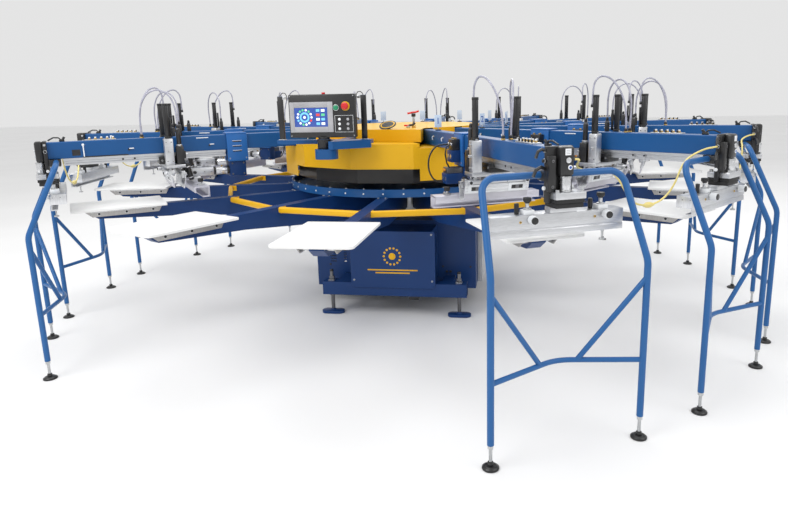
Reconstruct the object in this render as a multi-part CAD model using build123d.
"""Automatic screen printing carousel: 14 stations, 12 print heads, 2 open loading stations.

Millimetres, +Z up, origin on the floor at the machine's vertical axis, -Y towards the operator.
Station s lies at s * STEP degrees from -Y towards +X.  Stations 0 and 13 are open for loading,
stations 1 to 12 carry print heads.  Head parts are drawn in a local frame, X outward along the
station, Y across it and Z up, and are then turned to their station.
"""
from build123d import *
import math
import os

os.makedirs("parts", exist_ok=True)

# ---------------------------------------------------------------- layout
STATIONS = 14
STEP = 360 / STATIONS
HALF_STEP = STEP / 2
HEADS = range(1, 13)
OPEN_STATIONS = (0, 13)

# ---------------------------------------------------------------- pallets and turntable
PALLET_LENGTH = 558.8          # 22 in
PALLET_WIDTH = 406.4           # 16 in
PALLET_INNER_R = 1905
PALLET_OUTER_R = PALLET_INNER_R + PALLET_LENGTH
PALLET_TOP = 970
PALLET_THICK = 14
PALLET_CORNER = 30
SEAM_THICK = 3
ARM_WIDTH = 75
ARM_TOP = 945
ARM_INNER_R = 262
ARM_OUTER_R = 2370
ARM_HUB_BOTTOM = 757
HUB_RING_R = 950
HUB_RING_TOP = 1000
BRACKET_HALF_WIDTH = 95
BRACKET_BOTTOM = 905
BAR_R = 1423                   # apothem of the yellow stiffener polygon
BAR_WIDTH = 32
BAR_HEIGHT = 40

# ---------------------------------------------------------------- centre
COLUMN_R = 140
LIFT_CLEARANCE = 0.05
SLEEVE_R = 190
HUB_DISC_R = 560
COVER_TOP = 1400
SKIRT_APOTHEM = 960
SKIRT_TOP = 1282
TIER_APOTHEM = 590
SHEET = 3
RAISED_TOP = 1312
RAISED_INNER_R = 735
RAISED_EDGE = {1: -174, 12: 49}    # where the raised skirt ends, across stations 1 and 12

# ---------------------------------------------------------------- head beams
BEAM_BOTTOM = 1285
BEAM_TOP = 1390
BEAM_WIDTH = 76
BEAM_WALL = 5
BEAM_INNER_R = 260
BEAM_OUTER_R = 2540
RAIL_BOTTOM = 1240
RAIL_INNER_R = 1470
RAIL_OUTER_R = 2462
HEAD_R = 1850                  # parked print carriage

# ---------------------------------------------------------------- console
CONSOLE_X = -336
CONSOLE_Y = -1120
CONSOLE_Z = 1372
SPINE_X = CONSOLE_X + 60
PANEL_WIDTH = 446
PANEL_HEIGHT = 276
PANEL_DEPTH = 46
PANEL_BOTTOM = CONSOLE_Z + 2
STOP_X, STOP_Z = 159, PANEL_BOTTOM + PANEL_HEIGHT - 77
START_X, START_Z = 96, PANEL_BOTTOM + PANEL_HEIGHT - 86

# ---------------------------------------------------------------- leg frames
LEG_R = 2685
LEG_TOP_R = 2500
LEG_HALF = 383
LEG_TOP_HALF = 352
LEG_BOTTOM = 114
LEG_BEND = 875
LEG_TOP = 1268
TUBE_R = 16
TUBE_WALL = 2
BRACE_R = 12.5
CROSSBAR_Z = 400

# ---------------------------------------------------------------- base
CABINET_LEFT = -667
CABINET_RIGHT = 600
CABINET_Y = 470
CABINET_TOP = 690
BASE_BEAM_X = 550
BASE_BEAM_Y = 670
BASE_BEAM = 100
BASE_BEAM_BOTTOM = 160
FOOT_X = 490
FOOT_SCREW_R = 14


def block(x0, x1, y0, y1, z0, z1):
    """Box between two corners."""
    return Pos((x0 + x1) / 2, (y0 + y1) / 2, (z0 + z1) / 2) * Box(x1 - x0, y1 - y0, z1 - z0)


def post(x, y, z0, z1, radius):
    """Upright cylinder."""
    return Pos(x, y, (z0 + z1) / 2) * Cylinder(radius, z1 - z0)


def pin_x(x0, x1, y, z, radius):
    """Cylinder along X."""
    return Pos((x0 + x1) / 2, y, z) * Rot(0, 90, 0) * Cylinder(radius, x1 - x0)


def pin_y(x, y0, y1, z, radius):
    """Cylinder along Y."""
    return Pos(x, (y0 + y1) / 2, z) * Rot(90, 0, 0) * Cylinder(radius, y1 - y0)


def strut(start, end, radius):
    """Round bar between two points."""
    axis = Vector(*end) - Vector(*start)
    middle = (Vector(*start) + Vector(*end)) / 2
    plane = Plane(origin=middle, z_dir=axis)
    return plane * Cylinder(radius, axis.length)


def side_prism(points, y0, y1):
    """Outline in X and Z, extruded from y0 to y1."""
    outline = Plane.XZ * Polygon(*points, align=None)
    return Pos(0, y1, 0) * extrude(outline, y1 - y0, dir=(0, -1, 0))


def plan_prism(points, z0, z1):
    """Outline in X and Y, extruded from z0 to z1."""
    return Pos(0, 0, z0) * extrude(Polygon(*points, align=None), z1 - z0, dir=(0, 0, 1))


def ring(inner, outer, z0, z1):
    """Flat ring about the Z axis."""
    height = z1 - z0
    return Pos(0, 0, (z0 + z1) / 2) * (Cylinder(outer, height) - Cylinder(inner, height))


def pipe(points, radii, radius):
    """Round section swept along straight runs joined by tangent arcs."""
    path = FilletPolyline(*points, radius=radii)
    return sweep(Plane(origin=path @ 0, z_dir=path % 0) * Circle(radius), path=path)


def at_station(s):
    """Location that turns the local head frame to station s."""
    return Rot(0, 0, s * STEP - 90)


def repeat(pieces, stations):
    """Copies of a list of pieces, turned to each station."""
    return [at_station(s) * piece for s in stations for piece in pieces]


def solids_of(pieces):
    """Every solid in a list of shapes."""
    found = []
    for piece in pieces:
        found.extend(piece.solids())
    return found


def save(name, pieces):
    """Write one node."""
    export_step(Compound(children=solids_of(pieces)), f"parts/{name}.step")


# ================================================================ base
def base_frame():
    """Front and rear box beams on two long rails, with the plate that carries the column."""
    y = BASE_BEAM_Y
    half = BASE_BEAM / 2
    top = BASE_BEAM_BOTTOM + BASE_BEAM
    frame = block(-BASE_BEAM_X, BASE_BEAM_X, -y - half, -y + half, BASE_BEAM_BOTTOM, top)
    frame += block(-BASE_BEAM_X, BASE_BEAM_X, y - half, y + half, BASE_BEAM_BOTTOM, top)
    for side in (-1, 1):
        frame += block(side * 400 - 40, side * 400 + 40, -y + half, y - half, BASE_BEAM_BOTTOM, top)
    frame += block(-360, 360, -150, 150, BASE_BEAM_BOTTOM, top)
    wall = 6
    for beam_y in (-y, y):
        frame -= block(-BASE_BEAM_X - 1, BASE_BEAM_X + 1, beam_y - half + wall, beam_y + half - wall,
                       BASE_BEAM_BOTTOM + wall, top - wall)
        for x in (-FOOT_X, FOOT_X):
            frame -= post(x, beam_y, BASE_BEAM_BOTTOM, top, FOOT_SCREW_R + 0.2)
    return [frame]


def base_cabinet():
    """Folded sheet walls round the base, with the raised front housing and louvres."""
    x0, x1, y, top, t = CABINET_LEFT, CABINET_RIGHT, CABINET_Y, CABINET_TOP, 4
    bottom = 158
    front = block(x0, x1, -y, -y + t, bottom, top)
    rear = block(x0, x1, y - t, y, bottom, top)
    for side in (-400, 400):
        slot = block(side - 42, side + 42, -y - 1, y + 1, bottom - 1, 262)
        front -= slot
        rear -= slot
    for column, half in ((-530, 22), (-436, 11)):
        for row in range(5):
            z = 352 + 22 * row
            front -= block(column - half, column + half, -y - 1, -y + t + 1, z, z + 8)
    for row in range(8):
        z = 400 + 26 * row
        rear -= block(250, 420, y - t - 1, y + 1, z, z + 8)
    left = block(x0, x0 + t, -y + t, y - t, bottom, top)
    right = block(x1 - t, x1, -y + t, y - t, bottom, top)
    lid = block(x0, x1, -y, y, top, top + t) - post(0, 0, top, top + t, COLUMN_R + 15)
    housing_front = -BASE_BEAM_Y - BASE_BEAM / 2
    hx, hz0, hz1 = 300, 262, 657
    cheek_l = block(-hx, -hx + t, housing_front, -y, hz0, hz1)
    cheek_r = block(hx - t, hx, housing_front, -y, hz0, hz1)
    roof = block(-hx, hx, housing_front, -y, hz1, hz1 + t)
    duct = block(x1, x1 + 36, -300, 0, 165, 640)
    return [front, rear, left, right, lid, cheek_l, cheek_r, roof, duct]


def base_access_panel():
    """Removable front cover, rounder at its lower corners."""
    front = -BASE_BEAM_Y - BASE_BEAM / 2
    width, z0, z1, thick = 640, 225, 661, 12
    panel = block(-width / 2, width / 2, front - thick, front, z0, z1)
    upright = panel.edges().filter_by(Axis.Y).sort_by(Axis.Z)
    panel = fillet(upright[:2], 38)
    upright = panel.edges().filter_by(Axis.Y).sort_by(Axis.Z)
    panel = fillet(upright[-2:], 14)
    rim = panel.faces().sort_by(Axis.Y)[0].edges()
    return [chamfer(rim, 2)]


def levelling_feet():
    """Four base pads on heavy screws, and two small pads on screws under each leg frame."""
    pieces = []
    for x in (-FOOT_X, FOOT_X):
        for y in (-BASE_BEAM_Y, BASE_BEAM_Y):
            pad = Pos(x, y, 11) * extrude(SlotOverall(176, 84), 11, both=True)
            pad = chamfer(pad.faces().sort_by(Axis.Z)[-1].edges(), 6)
            screw = post(x, y, 22, 345, FOOT_SCREW_R)
            low_nut = Pos(x, y, 150) * extrude(RegularPolygon(21, 6), 10, both=True)
            washer = block(x - 24, x + 24, y - 24, y + 24, 260, 268)
            high_nut = Pos(x, y, 281) * extrude(RegularPolygon(21, 6), 13, both=True)
            bore = post(x, y, 130, 300, FOOT_SCREW_R)
            pieces += [pad, screw, low_nut - bore, washer - bore, high_nut - bore]
    leg = []
    for side in (-1, 1):
        y = side * LEG_HALF
        disc = post(LEG_R, y, 0, 16, 39)
        disc = chamfer(disc.faces().sort_by(Axis.Z)[-1].edges(), 6)
        socket = post(LEG_R, y, 16, 34, 15)
        screw = post(LEG_R, y, 34, 150, 7.9)
        nut = Pos(LEG_R, y, 105) * extrude(RegularPolygon(15, 6), 9, both=True)
        leg += [disc + socket, screw, nut - post(LEG_R, y, 90, 120, 7.9)]
    return pieces + repeat(leg, HEADS)


# ================================================================ centre
def centre_column():
    """Fixed column with the disc that carries the beams, and the black drum under the covers."""
    base_top = BASE_BEAM_BOTTOM + BASE_BEAM
    column = ring(COLUMN_R - 20, COLUMN_R, base_top, 1265)
    disc = post(0, 0, 1265, BEAM_BOTTOM, HUB_DISC_R)
    foot = ring(COLUMN_R + LIFT_CLEARANCE, 240, base_top, 290)
    drum = []
    apothem = 868
    z0, z1 = 1034, SKIRT_TOP - SHEET
    half = apothem * math.tan(math.radians(HALF_STEP))
    inner = half * (apothem - 4) / apothem
    panel = plan_prism([(apothem - 4, -inner), (apothem, -half), (apothem, half), (apothem - 4, inner)], z0, z1)
    web_half = 6
    web = block(HUB_DISC_R, apothem - 4, -web_half, web_half, 1266, z1)
    for s in range(STATIONS):
        drum.append(at_station(s) * panel)
        drum.append(at_station(s) * web)
    return [column, disc, foot] + drum


def centre_covers():
    """Yellow sheet covers: a low skirt of flat panels, its ledge, and the upper tier.

    The skirt is raised over the two open stations, and a little way on over their neighbours.
    """
    pieces = []
    tangent = math.tan(math.radians(HALF_STEP))

    def panel(apothem, z0, z1):
        half = apothem * tangent
        inner = (apothem - SHEET) * tangent
        return plan_prism([(apothem - SHEET, -inner), (apothem, -half), (apothem, half),
                           (apothem - SHEET, inner)], z0, z1)

    def ledge(r0, r1, z0, z1):
        return plan_prism([(r0, -r0 * tangent), (r1, -r1 * tangent), (r1, r1 * tangent),
                           (r0, r0 * tangent)], z0, z1)

    top = SKIRT_TOP - SHEET
    low_panel = panel(SKIRT_APOTHEM, 1060, top)
    low_ledge = ledge(TIER_APOTHEM, SKIRT_APOTHEM, top, SKIRT_TOP)
    high_panel = panel(SKIRT_APOTHEM, 1142, RAISED_TOP - SHEET)
    high_ledge = ledge(RAISED_INNER_R, SKIRT_APOTHEM, RAISED_TOP - SHEET, RAISED_TOP)
    back_wall = ledge(RAISED_INNER_R, RAISED_INNER_R + SHEET, SKIRT_TOP, RAISED_TOP - SHEET)
    for s in HEADS:
        if s not in RAISED_EDGE:
            pieces += [at_station(s) * low_panel, at_station(s) * low_ledge]
    for s, edge in RAISED_EDGE.items():
        side = 1 if edge > 0 else -1
        inner_edge = edge - side * SHEET
        y0, y1 = sorted((edge, side * 600))
        beyond = block(0, 1100, y0, y1, 1000, 1400)
        beyond_ledge = block(RAISED_INNER_R, 1100, y0, y1, 1000, 1400)
        y0, y1 = sorted((inner_edge, side * 600))
        with_wall = block(0, 1100, y0, y1, 1000, 1400)
        y0, y1 = sorted((inner_edge, edge))
        wall_start = max(RAISED_INNER_R, abs(edge) / tangent)
        side_wall = block(wall_start, SKIRT_APOTHEM - SHEET, y0, y1, SKIRT_TOP, RAISED_TOP - SHEET)
        corner = [low_panel - beyond, low_ledge - beyond_ledge, high_panel & beyond,
                  high_ledge & with_wall, side_wall]
        if wall_start == RAISED_INNER_R:
            corner.append(back_wall & beyond)
        pieces += [at_station(s) * sheet for sheet in corner]
    for s in OPEN_STATIONS:
        pieces += [at_station(s) * high_panel, at_station(s) * high_ledge]
    wall_half = TIER_APOTHEM * tangent - BEAM_WIDTH / 2 / math.cos(math.radians(HALF_STEP)) - 2
    wall = block(TIER_APOTHEM - SHEET, TIER_APOTHEM, -wall_half, wall_half, SKIRT_TOP, COVER_TOP - SHEET)
    for s in HEADS:
        if s + 1 in HEADS:
            pieces.append(at_station(s + 0.5) * wall)
    # forward bay of the upper tier, over the two open stations
    z0, z1 = RAISED_TOP + 1, COVER_TOP - SHEET
    front_x, front_half = 728, 420
    back_x, back_half = 505, 350
    bay = [block(front_x - SHEET, front_x, -front_half, front_half, z0, z1)]
    for side in (-1, 1):
        bay.append(plan_prism([(front_x - SHEET, side * front_half), (back_x, side * back_half),
                               (back_x, side * (back_half - SHEET)),
                               (front_x - SHEET, side * (front_half - 4))], z0, z1))
    spine_notch = block(SPINE_X - 31, SPINE_X + 31, -800, -600, 1300, 1349)
    pieces += [at_station(-0.5) * wall_piece - spine_notch for wall_piece in bay]
    lid = RegularPolygon(TIER_APOTHEM, STATIONS, major_radius=False)
    lid = Rot(0, 0, HALF_STEP) * lid
    front = Polygon((300, -front_half + 60), (back_x, -back_half - 8), (front_x, -front_half),
                    (front_x, front_half), (back_x, back_half + 8), (300, front_half - 60), align=None)
    lid = lid + Rot(0, 0, -HALF_STEP - 90) * front
    pieces.append(Pos(0, 0, COVER_TOP - SHEET) * extrude(lid, SHEET))
    return pieces


def lift_sleeve():
    """Sleeve that slides on the column and carries the turntable on its flange."""
    sleeve = ring(COLUMN_R + LIFT_CLEARANCE, SLEEVE_R, 700, 1000)
    sleeve += ring(COLUMN_R + LIFT_CLEARANCE, 260, 855, 870)
    return [sleeve]


# ================================================================ turntable
def turntable_hub():
    """Bolted ring plate with a raised rim, turning on the lift sleeve."""
    bore = SLEEVE_R + LIFT_CLEARANCE
    hub = ring(bore, HUB_RING_R, ARM_TOP, ARM_TOP + 10)
    hub += ring(HUB_RING_R - 20, HUB_RING_R, ARM_TOP + 10, HUB_RING_TOP)
    hub += ring(bore, 240, 870, ARM_TOP)
    return [hub]


def pallet_arms():
    """Tapered arms under the ring, one to a station."""
    outline = [(ARM_INNER_R, ARM_HUB_BOTTOM), (HUB_RING_R, ARM_HUB_BOTTOM), (1740, 848), (2310, 884),
               (ARM_OUTER_R, 925), (ARM_OUTER_R, ARM_TOP), (ARM_INNER_R, ARM_TOP)]
    wall = 5
    hollow = [(ARM_INNER_R - 1, ARM_HUB_BOTTOM + wall), (HUB_RING_R, ARM_HUB_BOTTOM + wall), (1740, 848 + wall),
              (2290, 884 + wall), (2290, ARM_TOP - wall), (ARM_INNER_R - 1, ARM_TOP - wall)]
    arm = side_prism(outline, -ARM_WIDTH / 2, ARM_WIDTH / 2)
    arm -= side_prism(hollow, -ARM_WIDTH / 2 + wall, ARM_WIDTH / 2 - wall)
    return repeat([arm], range(STATIONS))


def stiffener_bars():
    """Straight yellow bars from arm to arm."""
    tangent = math.tan(math.radians(HALF_STEP))
    side = ARM_WIDTH / 2 / math.cos(math.radians(HALF_STEP))
    r0, r1 = BAR_R - BAR_WIDTH / 2, BAR_R + BAR_WIDTH / 2
    bar = plan_prism([(r0, -r0 * tangent + side), (r1, -r1 * tangent + side), (r1, r1 * tangent - side),
                      (r0, r0 * tangent - side)], ARM_TOP - BAR_HEIGHT, ARM_TOP)
    bar = fillet(bar.edges().filter_by(GeomType.LINE).filter_by(
        lambda e: abs(e.center().Y) < 1 and e.length > 100), 13)
    return repeat([bar], [s + 0.5 for s in range(STATIONS)])


def pallet_brackets():
    """Aluminium channel under each pallet, bolted through both cheeks to the arm."""
    top = PALLET_TOP - PALLET_THICK - SEAM_THICK
    x0, x1 = 1925, 2390
    cheek_outline = [(x0, ARM_TOP), (x0 + 23, BRACKET_BOTTOM), (x1 - 45, BRACKET_BOTTOM), (x1, ARM_TOP)]
    bracket = block(x0, x1, -BRACKET_HALF_WIDTH, BRACKET_HALF_WIDTH, ARM_TOP, top)
    bolts = []
    for side in (-1, 1):
        y0, y1 = sorted((side * BRACKET_HALF_WIDTH, side * (BRACKET_HALF_WIDTH - 8)))
        bracket += side_prism(cheek_outline, y0, y1)
        y0, y1 = sorted((side * (ARM_WIDTH / 2), side * (BRACKET_HALF_WIDTH - 8)))
        for x in (1970, 2320):
            bracket += block(x - 15, x + 15, y0, y1, BRACKET_BOTTOM + 12, BRACKET_BOTTOM + 32)
        y0, y1 = sorted((side * BRACKET_HALF_WIDTH, side * (BRACKET_HALF_WIDTH + 5)))
        for x in (1985, 2145, 2305):
            bolts.append(pin_y(x, y0, y1, 926, 8))
    return repeat([bracket] + bolts, range(STATIONS))


def pallets():
    """White pallet boards on a thin brown seam sheet."""
    board = block(PALLET_INNER_R, PALLET_OUTER_R, -PALLET_WIDTH / 2, PALLET_WIDTH / 2,
                  PALLET_TOP - PALLET_THICK, PALLET_TOP)
    upright = board.edges().filter_by(Axis.Z).sort_by(Axis.X)
    board = fillet(upright[2:], PALLET_CORNER)
    upright = board.edges().filter_by(Axis.Z).sort_by(Axis.X)[:2]
    board = fillet(upright, 10)
    seam = block(1925, 2390, -BRACKET_HALF_WIDTH - 12, BRACKET_HALF_WIDTH + 12,
                 PALLET_TOP - PALLET_THICK - SEAM_THICK, PALLET_TOP - PALLET_THICK)
    return repeat([board, seam], range(STATIONS))


# ================================================================ heads
def head_beams():
    """Hollow rectangular beams bolted to the centre disc."""
    half = BEAM_WIDTH / 2
    beam = block(BEAM_INNER_R, BEAM_OUTER_R, -half, half, BEAM_BOTTOM, BEAM_TOP)
    beam = fillet(beam.edges().filter_by(Axis.X), 6)
    beam -= block(BEAM_INNER_R - 1, BEAM_OUTER_R - 8, -half + BEAM_WALL, half - BEAM_WALL,
                  BEAM_BOTTOM + BEAM_WALL, BEAM_TOP - BEAM_WALL)
    return repeat([beam], HEADS)


def slide_rails():
    """Aluminium rail with two side grooves under each beam."""
    z0, z1 = RAIL_BOTTOM, BEAM_BOTTOM
    outline = [(-32, z0), (32, z0), (32, z0 + 12), (24, z0 + 16), (24, z0 + 26), (32, z0 + 30), (32, z1),
               (-32, z1), (-32, z0 + 30), (-24, z0 + 26), (-24, z0 + 16), (-32, z0 + 12)]
    rail = extrude(Plane.YZ * Polygon(*outline, align=None), RAIL_OUTER_R - RAIL_INNER_R)
    return repeat([Pos(RAIL_INNER_R, 0, 0) * rail], HEADS)


def inner_brackets():
    """Blue louvred cap saddling the beam, the dark bracket hanging below it, and its side gear."""
    half = BEAM_WIDTH / 2
    cap = block(1318, 1462, -half - 18, half + 18, 1200, 1402)
    cap -= block(1317, 1463, -half, half, 1199, BEAM_TOP)
    cap = cap - block(1340, 1440, -half - 19, half + 19, 1199, 1210)
    for row in range(3):
        z = 1268 + 34 * row
        for side in (-1, 1):
            y0, y1 = sorted((side * (half + 14), side * (half + 20)))
            cap -= block(1362, 1422, y0, y1, z, z + 9)
    hanger = block(1335, 1450, -half, half, 1092, BEAM_BOTTOM)
    hanger -= block(1334, 1425, -28, 28, 1110, 1260)
    cylinder = pin_x(1450, 1560, 0, 1140, 30)
    upper_gear = block(1348, 1438, -112, -half - 18, 1226, 1366)
    lower_gear = block(1352, 1444, -150, -half, 1096, 1196)
    return repeat([cap, hanger, cylinder, upper_gear, lower_gear], HEADS)


def outer_brackets():
    """Black clamp bracket at the beam end, with its air cylinder, flange and rubber block."""
    front_r = BEAM_OUTER_R + 22
    body = block(BEAM_OUTER_R, front_r, -71, 58, 1150, 1398)
    nose = block(front_r, 2606, -26, 44, 1268, 1398)
    body += fillet(nose.edges().filter_by(Axis.X).sort_by(Axis.Z)[-2:], 14)
    body += block(front_r, 2590, -71, -36, 1200, 1359)
    clamp = block(2474, BEAM_OUTER_R, -70, 70, 1243, BEAM_BOTTOM)
    body += clamp - pin_y(LEG_TOP_R, -71, 71, LEG_TOP, TUBE_R)
    cylinder = post(front_r + 26, 10, 1200, 1268, 25.9)
    pieces = [body, cylinder]
    for r0, r1 in ((2496, BEAM_OUTER_R), (front_r, 2616)):
        pieces.append(block(r0, r1, -50, 100, 1168, 1200))
        pieces.append(block(r0, r1 - 4, -44, 94, 1150, 1168))
    pieces.append(block(2500, 2606, -44, 94, 1128, 1150))
    for x in (2512, 2602):
        for y in (-36, 86):
            pieces.append(post(x, y, 1200, 1212, 9))
    for y0, y1 in ((-85, -71), (58, 72)):
        pieces.append(pin_y(BEAM_OUTER_R + 11, y0, y1, 1335, 8))
    return repeat(pieces, HEADS)


def screen_clamps():
    """Outer and inner clamp bars that grip the screen frame, with their knobs and stop screw."""
    outer_half, inner_half = 330, 318
    outer = block(2468, 2556, -outer_half, outer_half, 1092, 1102)
    outer += block(2546, 2556, -outer_half, outer_half, 1004, 1092)
    outer += block(2468, 2478, -outer_half, outer_half, 1040, 1092)
    outer += block(2520, 2546, -outer_half, outer_half, 1004, 1012)
    mount = block(2500, 2556, -44, 94, 1102, 1128)
    pieces = [outer, mount]
    for y in (-142, 228):
        pieces.append(block(2500, 2550, y - 26, y + 26, 1102, 1122))
        stem = post(2526, y, 1122, 1150, 9)
        grip = post(2526, y, 1150, 1176, 19)
        grip = chamfer(grip.faces().sort_by(Axis.Z)[0].edges(), 7)
        pieces.append(stem + grip)
        pieces.append(pin_x(2556, 2600, y + 4, 1082, 20))
        pieces.append(post(2510, y - 44, 1102, 1150, 11))
    pieces.append(post(2534, 236, 962, 1004, 4) + post(2534, 236, 955, 962, 14))
    inner = block(1650, 1746, -inner_half, inner_half, 1066, 1076)
    inner += block(1650, 1660, -inner_half, inner_half, 1002, 1066)
    inner += block(1736, 1746, -inner_half, inner_half, 1034, 1066)
    inner += block(1660, 1700, -inner_half, inner_half, 1002, 1012)
    carrier = block(1560, 1712, -34, 34, 1112, 1168) + block(1656, 1712, -60, 60, 1076, 1112)
    pieces += [inner, carrier]
    for y in (-230, 230):
        pieces.append(post(1690, y, 1076, 1096, 8) + post(1690, y, 1096, 1120, 18))
    return repeat(pieces, HEADS)


def leg_frame():
    """One bent tube hoop with a V-shaped crossbar and two diagonal braces."""
    hoop = [(LEG_R, LEG_HALF, LEG_BOTTOM), (LEG_R, LEG_HALF, LEG_BEND), (LEG_TOP_R, LEG_TOP_HALF, LEG_TOP),
            (LEG_TOP_R, -LEG_TOP_HALF, LEG_TOP), (LEG_R, -LEG_HALF, LEG_BEND), (LEG_R, -LEG_HALF, LEG_BOTTOM)]
    bends = [120, 75, 75, 120]
    mid_r = 2550
    cross = [(LEG_R, LEG_HALF, CROSSBAR_Z), (mid_r, 0, CROSSBAR_Z), (LEG_R, -LEG_HALF, CROSSBAR_Z)]
    joint_y = 95
    joint_r = mid_r + (LEG_R - mid_r) * joint_y / LEG_HALF
    solid_hoop = pipe(hoop, bends, TUBE_R)
    crossbar = pipe(cross, 220, BRACE_R)
    tubes = [solid_hoop - pipe(hoop, bends, TUBE_R - TUBE_WALL), crossbar - solid_hoop]
    for side in (-1, 1):
        top = (LEG_R, side * LEG_HALF, 800)
        low = (joint_r, side * joint_y, CROSSBAR_Z)
        tubes.append(strut(top, low, BRACE_R) - solid_hoop - crossbar)
    return tubes


def leg_frames():
    """Leg frames under the outer end of every head."""
    return repeat(leg_frame(), HEADS)


def carriage():
    """Print carriage: trolley under the rail, side blocks and four chopper cylinders."""
    r = HEAD_R
    trolley = block(r - 70, r + 60, -62, 62, 1212, RAIL_BOTTOM - 0.3)
    for side in (-1, 1):
        y0, y1 = sorted((side * 32.4, side * 62))
        trolley += block(r - 70, r + 60, y0, y1, RAIL_BOTTOM - 0.3, 1262)
    trolley += block(r - 90, r + 30, -150, 150, 1190, 1212)
    pieces = [trolley]
    for side in (-1, 1):
        y = side * 120
        y0, y1 = sorted((side * 92, side * 148))
        squeegee_block = block(r - 26, r + 30, y0, y1, 1212, 1385) - post(r, y, 1180, 1385, 9.05)
        tall = post(r, y, 1385, 1600, 17) + post(r, y, 1600, 1612, 14)
        flood_block = block(r - 88, r - 40, y0, y1, 1212, 1330) - post(r - 66, y, 1180, 1330, 7.05)
        if side < 0:
            tall += block(r - 32, r - 16, y - 8, y + 8, 1538, 1558)
        short = post(r - 66, y, 1330, 1452, 15) + post(r - 66, y, 1452, 1464, 9)
        pieces += [squeegee_block, tall, flood_block, short]
    trolley_bores = post(r, 120, 1180, 1212, 9.05) + post(r, -120, 1180, 1212, 9.05)
    trolley_bores += post(r - 66, 120, 1180, 1212, 7.05) + post(r - 66, -120, 1180, 1212, 7.05)
    pieces[0] = trolley - trolley_bores
    return pieces


def squeegee():
    """Squeegee holder on two rods, raised, with clamp rail, rubber blade and end knobs."""
    r = HEAD_R
    half = 190
    bar = block(r - 14, r + 30, -half, half, 1152, 1172)
    holder = Pos(r + 10, 0, 1126) * Rot(0, 12, 0) * Box(18, 2 * half, 52)
    blade = Pos(r + 18.5, 0, 1086) * Rot(0, 12, 0) * Box(9, 2 * half - 6, 44)
    blade = blade - (Pos(r + 10, 0, 1126) * Rot(0, 12, 0) * Box(18, 2 * half, 52))
    pieces = [(bar + holder), blade]
    for side in (-1, 1):
        y = side * 120
        pieces.append(post(r, y, 1172, 1372, 9))
        pieces.append(pin_x(r + 30, r + 58, side * 165, 1162, 13))
    return pieces


def flood_bar():
    """Flood bar on two rods, raised, a thin sloping blade under its rail."""
    r = HEAD_R - 66
    half = 190
    bar = block(r - 20, r + 16, -half, half, 1143, 1159)
    blade = Pos(r - 4, 0, 1101) * Rot(0, -10, 0) * Box(5, 2 * half, 92)
    pieces = [bar + blade]
    for side in (-1, 1):
        y = side * 120
        pieces.append(post(r, y, 1159, 1305, 7))
    return pieces


# ================================================================ console
def console_tray():
    """Blue tray reaching from the covers to the swivel mount, with two upright posts."""
    x, y = CONSOLE_X, CONSOLE_Y
    top = 1352
    tray = block(x - 364, x + 291, y + 75, y + 135, 1325, top)
    tray += plan_prism([(x + 48, y + 75), (x + 48, y - 90), (x + 81, y - 102), (x + 291, y + 58),
                        (x + 291, y + 75)], 1300, top)
    tray += block(SPINE_X - 30, SPINE_X + 30, y + 75, y + 470, 1313, 1347)
    nose = Pos(x + 18, y - 40, 1268) * extrude(SlotOverall(150, 120), 32, both=True)
    mount = post(x, y - 20, 1300, CONSOLE_Z - 8, 43)
    pieces = [tray, nose, mount]
    for px, inward in ((x - 331, 1), (x + 242, -1)):
        pieces.append(block(px - 17, px + 17, y + 92, y + 108, top, 1642))
        strap0, strap1 = sorted((px + inward * 17, px + inward * 40))
        pieces.append(block(strap0, strap1, y + 92, y + 98, 1622, 1640))
    return pieces


def control_panel():
    """Flat control box with a raised screen bezel, on a swivel stub."""
    x, y = CONSOLE_X, CONSOLE_Y - 20
    z0, z1 = PANEL_BOTTOM, PANEL_BOTTOM + PANEL_HEIGHT
    front = y - PANEL_DEPTH / 2
    box = block(x - PANEL_WIDTH / 2, x + PANEL_WIDTH / 2, front, front + PANEL_DEPTH, z0, z1)
    box = fillet(box.edges().filter_by(Axis.Y), 10)
    stub = post(x, y, CONSOLE_Z - 8, z0, 38)
    box -= pin_y(x + STOP_X, front - 1, front + 12, STOP_Z, 10.05)
    box -= pin_y(x + START_X, front - 1, front + 12, START_Z, 17.05)
    bezel = block(x - 214, x + 75, front - 5, front, z0 + 35, z1 - 48)
    bezel -= block(x - 184, x + 39, front - 5, front, z0 + 70, z1 - 84)
    screen = block(x - 184, x + 39, front - 2, front, z0 + 70, z1 - 84)
    beacon = post(x + 10, y, z1, z1 + 12, 12)
    return [box + stub, bezel, screen, beacon]


def panel_buttons():
    """Mushroom stop button and flush start button."""
    x, y = CONSOLE_X, CONSOLE_Y - 20
    front = y - PANEL_DEPTH / 2
    stop = pin_y(x + STOP_X, front - 26, front - 14, STOP_Z, 24)
    stop += pin_y(x + STOP_X, front - 14, front + 4, STOP_Z, 10)
    start = pin_y(x + START_X, front - 10, front + 4, START_Z, 17)
    return stop, start


# ================================================================ hoses and cables
HOSE_R = 5.5
CABLE_R = 5


def corner_radii(points, share=0.45):
    """Largest tangent arc that each corner's two runs allow."""
    radii = []
    for before, corner, after in zip(points, points[1:], points[2:]):
        run_in = Vector(*corner) - Vector(*before)
        run_out = Vector(*after) - Vector(*corner)
        turn = math.radians(run_in.get_angle(run_out))
        radii.append(share * min(run_in.length, run_out.length) / math.tan(turn / 2))
    return radii


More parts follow.
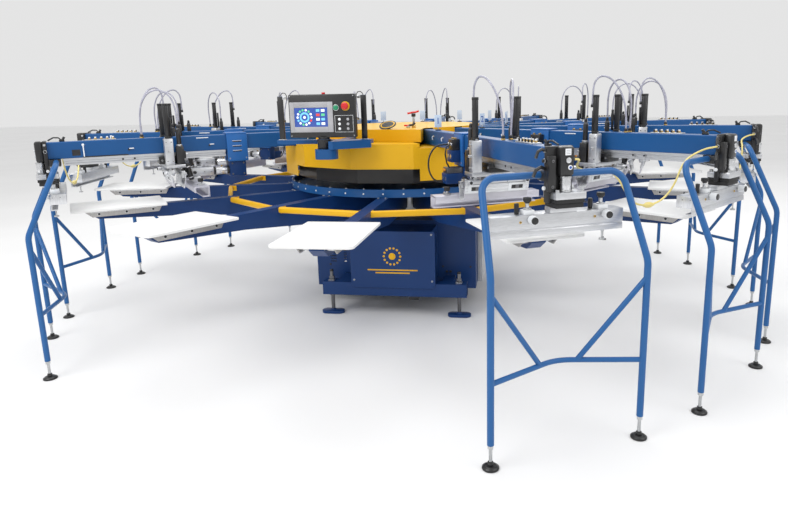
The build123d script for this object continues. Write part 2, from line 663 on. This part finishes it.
def hose_route(side):
    """Air hose from the beam top, over in an arch, down to a squeegee or a flood cylinder."""
    if side < 0:
        return [(1995, -22, BEAM_TOP), (1995, -22, 1442), (1992, -28, 1530), (1972, -46, 1622),
                (1926, -74, 1700), (1870, -100, 1724), (1834, -114, 1692), (1826, -120, 1636),
                (1826, -120, 1558)]
    return [(1995, 22, BEAM_TOP), (1995, 22, 1442), (1998, 26, 1524), (1984, 38, 1612),
            (1938, 58, 1686), (1868, 82, 1706), (1806, 102, 1658), (1786, 114, 1584),
            (1784, 120, 1520), (1784, 120, 1464)]


def air_hoses():
    """Two clear hoses to a head."""
    pieces = []
    for side in (-1, 1):
        points = hose_route(side)
        radii = corner_radii(points)
        hose = pipe(points, radii, HOSE_R)
        pieces.append(hose)
        report_cord("hose", radii, hose, HOSE_R)
    return repeat(pieces, HEADS)


def cable_route():
    """Signal cable hanging between two neighbouring heads, drawn about the line midway between."""
    return [(2503.1, -497.4, 1335), (2508.9, -472.1, 1335), (2476, -448, 1320), (2443, -430, 1292),
            (2444, -388, 1272), (2461, -316, 1266), (2474, -246, 1262), (2476, -186, 1218),
            (2476, -138, 1152), (2476, -84, 1092), (2476, 6, 1070), (2476, 96, 1078),
            (2476, 166, 1112), (2476, 220, 1172), (2474, 252, 1236), (2463, 306, 1276),
            (2446, 376, 1294), (2446, 420, 1308), (2474, 446, 1326), (2511.8, 459.4, 1335),
            (2506.0, 484.7, 1335)]


def head_cables():
    """Cables between neighbouring heads."""
    points = cable_route()
    radii = corner_radii(points)
    cable = pipe(points, radii, CABLE_R)
    report_cord("cable", radii, cable, CABLE_R)
    gaps = [s + 0.5 for s in HEADS if s + 1 in HEADS]
    return repeat([cable], gaps)


def report_cord(name, radii, cord, radius):
    """Print the arc radii, and the length that the volume stands for."""
    length = cord.volume / (math.pi * radius ** 2)
    print(name, "radii", [round(value) for value in radii], "length from volume", round(length))


# ================================================================ write the nodes
def main():
    save("base_frame", base_frame())
    save("base_cabinet", base_cabinet())
    save("base_access_panel", base_access_panel())
    save("levelling_feet", levelling_feet())
    save("centre_column", centre_column())
    save("centre_covers", centre_covers())
    save("lift_sleeve", lift_sleeve())
    save("turntable_hub", turntable_hub())
    save("pallet_arms", pallet_arms())
    save("stiffener_bars", stiffener_bars())
    save("pallet_brackets", pallet_brackets())
    save("pallets", pallets())
    save("head_beams", head_beams())
    save("slide_rails", slide_rails())
    save("inner_brackets", inner_brackets())
    save("outer_brackets", outer_brackets())
    save("screen_clamps", screen_clamps())
    save("leg_frames", leg_frames())
    save("console_tray", console_tray())
    save("control_panel", control_panel())
    stop, start = panel_buttons()
    save("stop_button", [stop])
    save("start_button", [start])
    save("air_hoses", air_hoses())
    save("head_cables", head_cables())
    for head in HEADS:
        save(f"carriage_{head:02d}", repeat(carriage(), [head]))
        save(f"squeegee_{head:02d}", repeat(squeegee(), [head]))
        save(f"flood_bar_{head:02d}", repeat(flood_bar(), [head]))


main()
